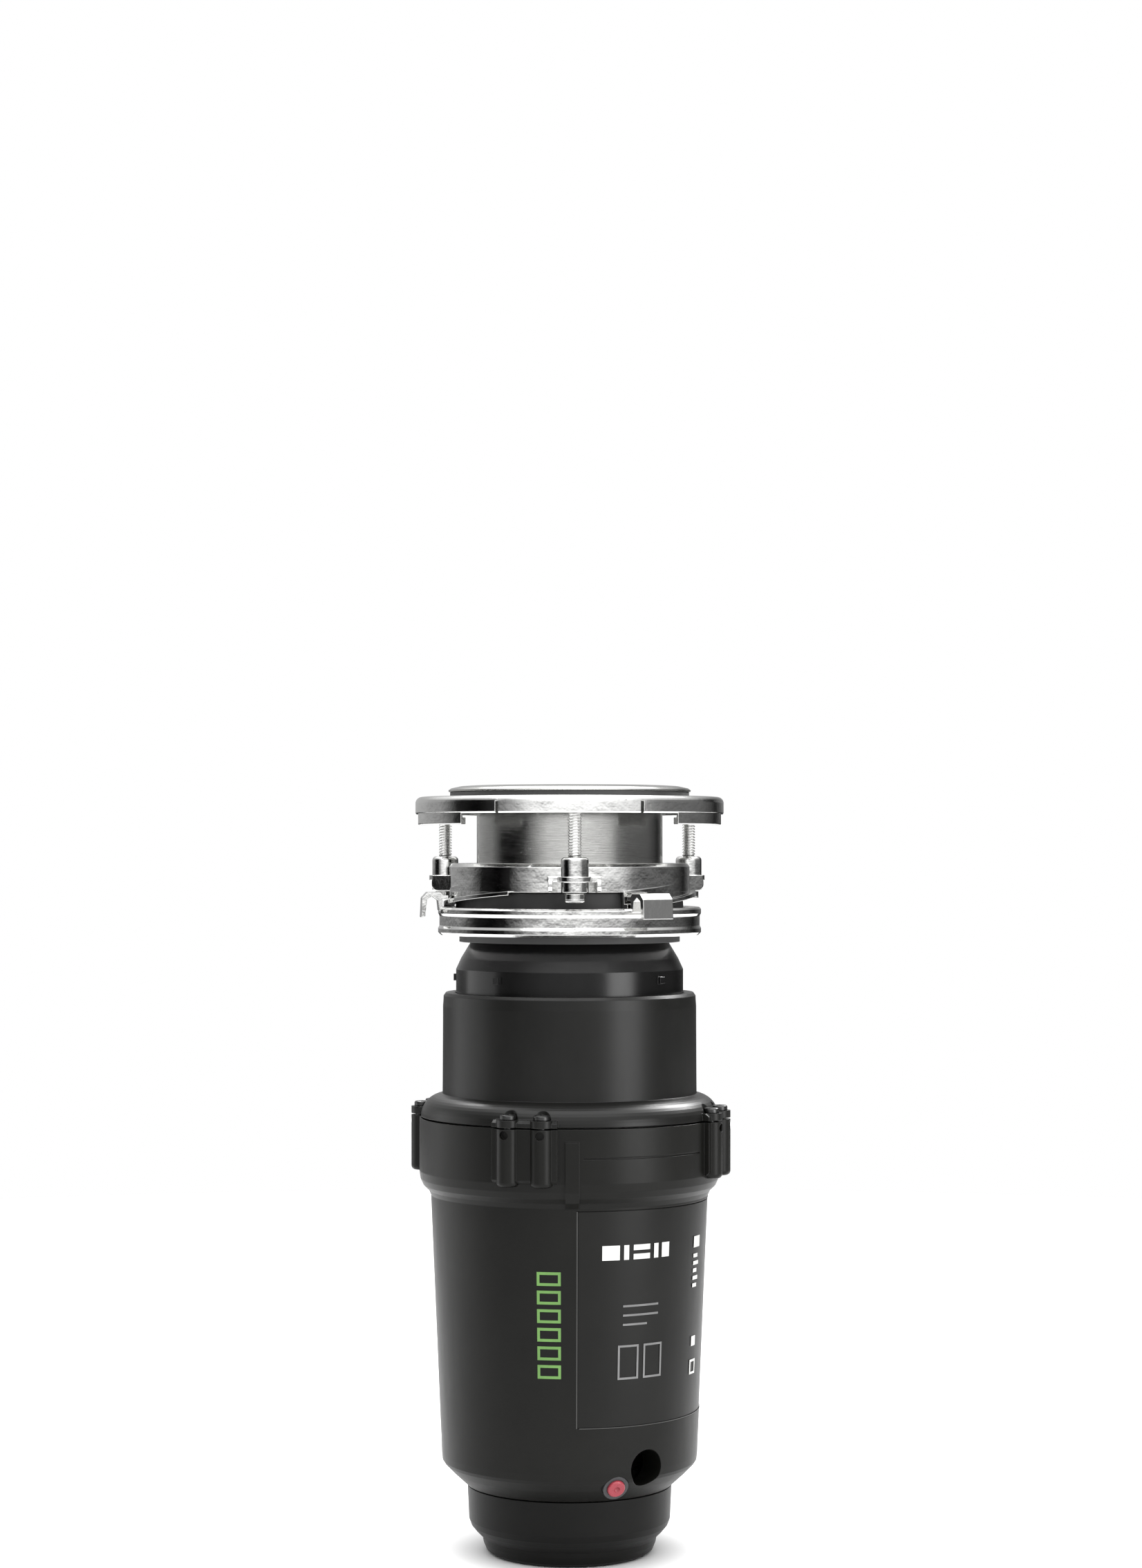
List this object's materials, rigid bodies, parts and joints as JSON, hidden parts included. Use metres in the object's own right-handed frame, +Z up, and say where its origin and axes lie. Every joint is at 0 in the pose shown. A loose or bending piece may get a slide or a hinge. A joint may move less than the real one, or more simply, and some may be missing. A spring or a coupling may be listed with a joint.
{
  "type": "kitchen waste disposer",
  "caption": "Under-sink food waste disposer with a grinding chamber, an induction motor, side outlet and dishwasher inlet, and a three-screw sink mount with a twist-lock ring.",
  "frame": {"origin": "centre of the flat underside of the base cup", "axes": "+Z up along the motor shaft, front (reset button and cord inlet) towards -Y, +X to the viewer's right"},
  "size_m": [0.1442, 0.1572, 0.345],
  "materials": {
    "flange_steel": "brushed",
    "gasket_fibre": "matt",
    "mount_zinc": "bright plated",
    "screw_zinc": "bright plated",
    "black_rubber": "matt",
    "neck_plastic": "glossy",
    "upper_plastic": "semi-gloss",
    "lower_plastic": "satin",
    "cap_plastic": "satin",
    "chamber_plastic": "moulded",
    "stainless": "brushed",
    "shaft_steel": "ground",
    "lamination": "stacked sheet",
    "copper": "enamelled wire",
    "cast_aluminium": "as cast",
    "bronze": "sintered",
    "black_screw": "blackened",
    "relay_plastic": "moulded",
    "capacitor_can": "drawn",
    "red_plastic": "glossy",
    "green_screw": "passivated green",
    "label_film": "satin film"
  },
  "bodies": {
    "housing": {"bottom_cap": "cap_plastic", "bottom_screws": "black_screw", "chamber_seal": "black_rubber", "drain_chamber": "chamber_plastic", "flange_gasket": "gasket_fibre", "grind_chamber": "neck_plastic", "grind_ring": "stainless", "ground_screw": "green_screw", "housing_screws": "black_screw", "inlet_plug": "neck_plastic", "label_panel": "label_film", "lower_bearing": "bronze", "lower_end_bracket": "cast_aluminium", "motor_shell": "lower_plastic", "mounting_gasket": "black_rubber", "overload_protector": "relay_plastic", "shaft_seal": "black_rubber", "sink_flange": "flange_steel", "snap_ring": "screw_zinc", "start_capacitor": "capacitor_can", "start_relay": "relay_plastic", "stator_core": "lamination", "stator_windings": "copper", "through_bolts": "screw_zinc", "thrust_washer": "shaft_steel", "upper_bearing": "bronze", "upper_end_bracket": "cast_aluminium", "upper_mounting_ring": "mount_zinc", "upper_shell": "upper_plastic"},
    "rotor": {"motor_shaft": "shaft_steel", "rotor_core": "lamination", "rotor_end_rings": "cast_aluminium", "start_switch": "relay_plastic", "turntable": "stainless", "turntable_nut": "stainless", "impeller_rivets": "stainless"},
    "right_impeller": {"impeller_right": "stainless"},
    "left_impeller": {"impeller_left": "stainless"},
    "reset": {"reset_button": "red_plastic"},
    "lock_ring": {"lower_mounting_ring": "mount_zinc"},
    "backup": {"backup_ring": "mount_zinc"},
    "front_screw": {"mounting_screw_front": "screw_zinc"},
    "right_screw": {"mounting_screw_right": "screw_zinc"},
    "left_screw": {"mounting_screw_left": "screw_zinc"},
    "guard": {"splash_guard": "black_rubber"}
  },
  "joints": [
    {"name": "turntable_spin", "type": "hinge", "parent": "housing", "child": "rotor", "pos_m": [0, 0, 0.2], "axis": [0, 0, 1], "continuous": true},
    {"name": "right_impeller_swivel", "type": "hinge", "parent": "rotor", "child": "right_impeller", "pos_m": [0.03, 0, 0.2025], "axis": [0, 0, 1], "continuous": true},
    {"name": "left_impeller_swivel", "type": "hinge", "parent": "rotor", "child": "left_impeller", "pos_m": [-0.03, 0, 0.2025], "axis": [0, 0, 1], "continuous": true},
    {"name": "reset_press", "type": "slide", "parent": "housing", "child": "reset", "axis": [-0.3322, 0.8432, 0.4226], "range_m": [0, 0.0015], "stiffness_N_per_m": 300},
    {"name": "lock_ring_turn", "type": "hinge", "parent": "housing", "child": "lock_ring", "pos_m": [0, 0, 0.284], "axis": [0, 0, 1], "range_deg": [-15, 0]},
    {"name": "front_screw_turn", "type": "hinge", "parent": "backup", "child": "front_screw", "pos_m": [0.00227, -0.06496, 0.315], "axis": [0, 0, 1], "range_deg": [-1446, 0]},
    {"name": "right_screw_turn", "type": "hinge", "parent": "backup", "child": "right_screw", "pos_m": [0.05512, 0.03445, 0.315], "axis": [0, 0, 1], "range_deg": [-1446, 0]},
    {"name": "left_screw_turn", "type": "hinge", "parent": "backup", "child": "left_screw", "pos_m": [-0.05739, 0.03052, 0.315], "axis": [0, 0, 1], "range_deg": [-1446, 0]},
    {"name": "backup_ring_slide", "type": "slide", "parent": "housing", "child": "backup", "axis": [0, 0, 1], "range_m": [-0.0051, 0]},
    {"name": "guard_lift", "type": "slide", "parent": "housing", "child": "guard", "axis": [0, 0, 1], "range_m": [0, 0.075]}
  ],
  "couplings": [
    {"joint": "front_screw_turn", "follows": "backup_ring_slide", "rad_per_m": 4947.4},
    {"joint": "right_screw_turn", "follows": "backup_ring_slide", "rad_per_m": 4947.4},
    {"joint": "left_screw_turn", "follows": "backup_ring_slide", "rad_per_m": 4947.4}
  ]
}
